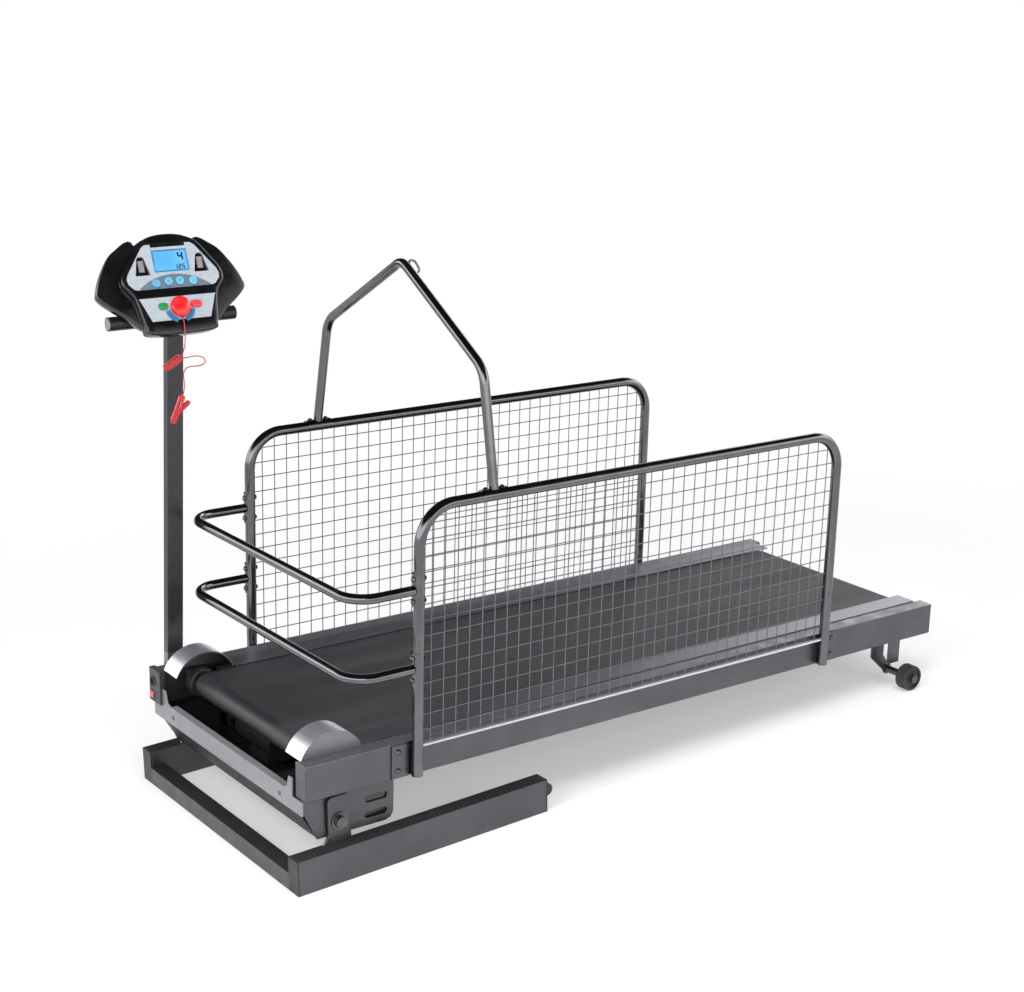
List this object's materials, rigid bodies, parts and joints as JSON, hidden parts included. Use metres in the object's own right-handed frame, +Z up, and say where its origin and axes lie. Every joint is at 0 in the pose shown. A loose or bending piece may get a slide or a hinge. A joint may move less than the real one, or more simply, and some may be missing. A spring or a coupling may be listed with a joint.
{
  "type": "dog treadmill",
  "caption": "Dog treadmill with a tilting belt deck on a floor frame, wire side fences, front bars, a harness arch and a console on a post.",
  "frame": {"origin": "middle of the underside of the floor frame's front cross tube, on the floor", "axes": "+X from the front cross tube to the rear of the deck, +Y to the console side, +Z up"},
  "size_m": [2.0111, 0.8213, 1.2984],
  "materials": {
    "base_paint": "satin charcoal grey",
    "frame_paint": "satin charcoal grey with a fine metallic fleck",
    "pan_paint": "semi-gloss dark grey",
    "light_paint": "satin light grey",
    "black_plastic": "fine matt grain",
    "switch_plastic": "satin black",
    "dark_steel": "blackened steel",
    "board_wood": "black faced board",
    "belt_rubber": "matt with a fine diamond grain",
    "drive_rubber": "matt black",
    "foot_aluminium": "ribbed satin silver",
    "cover_plastic": "silver lacquer over plastic",
    "rocker_red": "gloss red",
    "roller_steel": "turned steel",
    "motor_iron": "black enamel",
    "controller_aluminium": "natural aluminium",
    "wheel_rubber": "matt black",
    "fence_tube": "polished dark chrome",
    "mesh_wire": "bright grey wire",
    "handle_black": "soft black sleeve",
    "console_black": "gloss black",
    "fascia_silver": "silver lilac lacquer",
    "display_glass": "lit blue display",
    "button_cyan": "gloss light blue",
    "button_green": "gloss green",
    "button_red": "gloss red",
    "button_blue": "gloss blue",
    "key_red": "gloss red",
    "cord_red": "woven red cord",
    "clip_plastic": "gloss dark red"
  },
  "bodies": {
    "base_frame": {"base_leg_right": "base_paint", "base_leg_left": "base_paint", "base_cross_tube": "base_paint", "pivot_ears": "base_paint", "leg_end_caps": "black_plastic"},
    "deck": {"pivot_bolts": "dark_steel", "side_rail_right": "frame_paint", "side_rail_left": "frame_paint", "front_cross_member": "light_paint", "deck_cross_tubes": "frame_paint", "side_plates": "frame_paint", "belly_pan": "pan_paint", "running_board": "board_wood", "running_belt": "belt_rubber", "foot_rails": "foot_aluminium", "rail_end_caps": "frame_paint", "roller_covers": "cover_plastic", "switch_box": "switch_plastic", "power_inlet": "black_plastic", "roller_brackets": "light_paint", "drive_motor": "motor_iron", "drive_belt": "drive_rubber", "motor_controller": "controller_aluminium", "rear_brackets": "frame_paint", "rear_axles": "dark_steel", "fence_frame_right": "fence_tube", "fence_frame_left": "fence_tube", "fence_mesh_right": "mesh_wire", "fence_mesh_left": "mesh_wire", "frame_bolts": "dark_steel", "front_bar_upper": "fence_tube", "front_bar_lower": "fence_tube", "harness_arch": "fence_tube", "harness_hook": "mesh_wire", "console_post": "frame_paint", "handlebar": "handle_black", "console_back": "console_black", "console_front": "console_black", "fascia_panels": "fascia_silver", "display_window": "display_glass"},
    "front_roller_drum": {"front_roller": "roller_steel"},
    "rear_roller_drum": {"rear_roller": "roller_steel"},
    "motor_rotor": {"motor_pulley": "dark_steel"},
    "wheel_right": {"rear_wheel_right": "wheel_rubber"},
    "wheel_left": {"rear_wheel_left": "wheel_rubber"},
    "rocker": {"power_rocker": "rocker_red"},
    "program_1": {"program_button_1": "button_cyan"},
    "program_2": {"program_button_2": "button_cyan"},
    "program_3": {"program_button_3": "button_cyan"},
    "program_4": {"program_button_4": "button_cyan"},
    "start": {"start_button": "button_green"},
    "stop": {"stop_button": "button_red"},
    "slower": {"slower_button": "button_blue"},
    "faster": {"faster_button": "button_blue"},
    "key": {"safety_key": "key_red", "lanyard_upper": "cord_red", "lanyard_hank": "cord_red", "lanyard_lower": "cord_red", "clip_body": "clip_plastic"},
    "lever": {"clip_lever": "clip_plastic"}
  },
  "joints": [
    {"name": "deck_tilt", "type": "hinge", "parent": "base_frame", "child": "deck", "pos_m": [0.105, 0, 0.128], "axis": [0, 1, 0], "range_deg": [-12, 0]},
    {"name": "front_roller_spin", "type": "hinge", "parent": "deck", "child": "front_roller_drum", "pos_m": [0.10069, 0, 0.25026], "axis": [0, 1, 0], "continuous": true},
    {"name": "rear_roller_spin", "type": "hinge", "parent": "deck", "child": "rear_roller_drum", "pos_m": [1.89537, 0, 0.18131], "axis": [0, 1, 0], "continuous": true},
    {"name": "motor_spin", "type": "hinge", "parent": "deck", "child": "motor_rotor", "pos_m": [0.18794, 0.25, 0.15083], "axis": [0, 1, 0], "continuous": true},
    {"name": "wheel_right_spin", "type": "hinge", "parent": "deck", "child": "wheel_right", "pos_m": [1.84968, -0.375, 0.034], "axis": [0, 1, 0], "continuous": true},
    {"name": "wheel_left_spin", "type": "hinge", "parent": "deck", "child": "wheel_left", "pos_m": [1.84968, 0.375, 0.034], "axis": [0, 1, 0], "continuous": true},
    {"name": "power_rocker_tilt", "type": "hinge", "parent": "deck", "child": "rocker", "pos_m": [0.00645, 0.341, 0.21985], "axis": [0, 1, 0], "range_deg": [0, 12]},
    {"name": "program_1_press", "type": "slide", "parent": "deck", "child": "program_1", "axis": [-0.015, 0.9205, -0.3904], "range_m": [0, 0.0012], "stiffness_N_per_m": 400},
    {"name": "program_2_press", "type": "slide", "parent": "deck", "child": "program_2", "axis": [-0.015, 0.9205, -0.3904], "range_m": [0, 0.0012], "stiffness_N_per_m": 400},
    {"name": "program_3_press", "type": "slide", "parent": "deck", "child": "program_3", "axis": [-0.015, 0.9205, -0.3904], "range_m": [0, 0.0012], "stiffness_N_per_m": 400},
    {"name": "program_4_press", "type": "slide", "parent": "deck", "child": "program_4", "axis": [-0.015, 0.9205, -0.3904], "range_m": [0, 0.0012], "stiffness_N_per_m": 400},
    {"name": "start_press", "type": "slide", "parent": "deck", "child": "start", "axis": [-0.015, 0.9205, -0.3904], "range_m": [0, 0.0012], "stiffness_N_per_m": 400},
    {"name": "stop_press", "type": "slide", "parent": "deck", "child": "stop", "axis": [-0.015, 0.9205, -0.3904], "range_m": [0, 0.0012], "stiffness_N_per_m": 400},
    {"name": "slower_press", "type": "slide", "parent": "deck", "child": "slower", "axis": [-0.015, 0.9205, -0.3904], "range_m": [0, 0.0012], "stiffness_N_per_m": 400},
    {"name": "faster_press", "type": "slide", "parent": "deck", "child": "faster", "axis": [-0.015, 0.9205, -0.3904], "range_m": [0, 0.0012], "stiffness_N_per_m": 400},
    {"name": "key_pull", "type": "slide", "parent": "deck", "child": "key", "axis": [0.015, -0.9205, 0.3904], "range_m": [0, 0.02]},
    {"name": "clip_lever_squeeze", "type": "hinge", "parent": "key", "child": "lever", "pos_m": [0.08075, 0.28761, 0.90034], "axis": [0, 1, 0], "range_deg": [0, 18], "stiffness_Nm_per_rad": 0.05}
  ],
  "couplings": [
    {"joint": "rear_roller_spin", "follows": "front_roller_spin", "ratio": 1},
    {"joint": "motor_spin", "follows": "front_roller_spin", "ratio": 2}
  ]
}
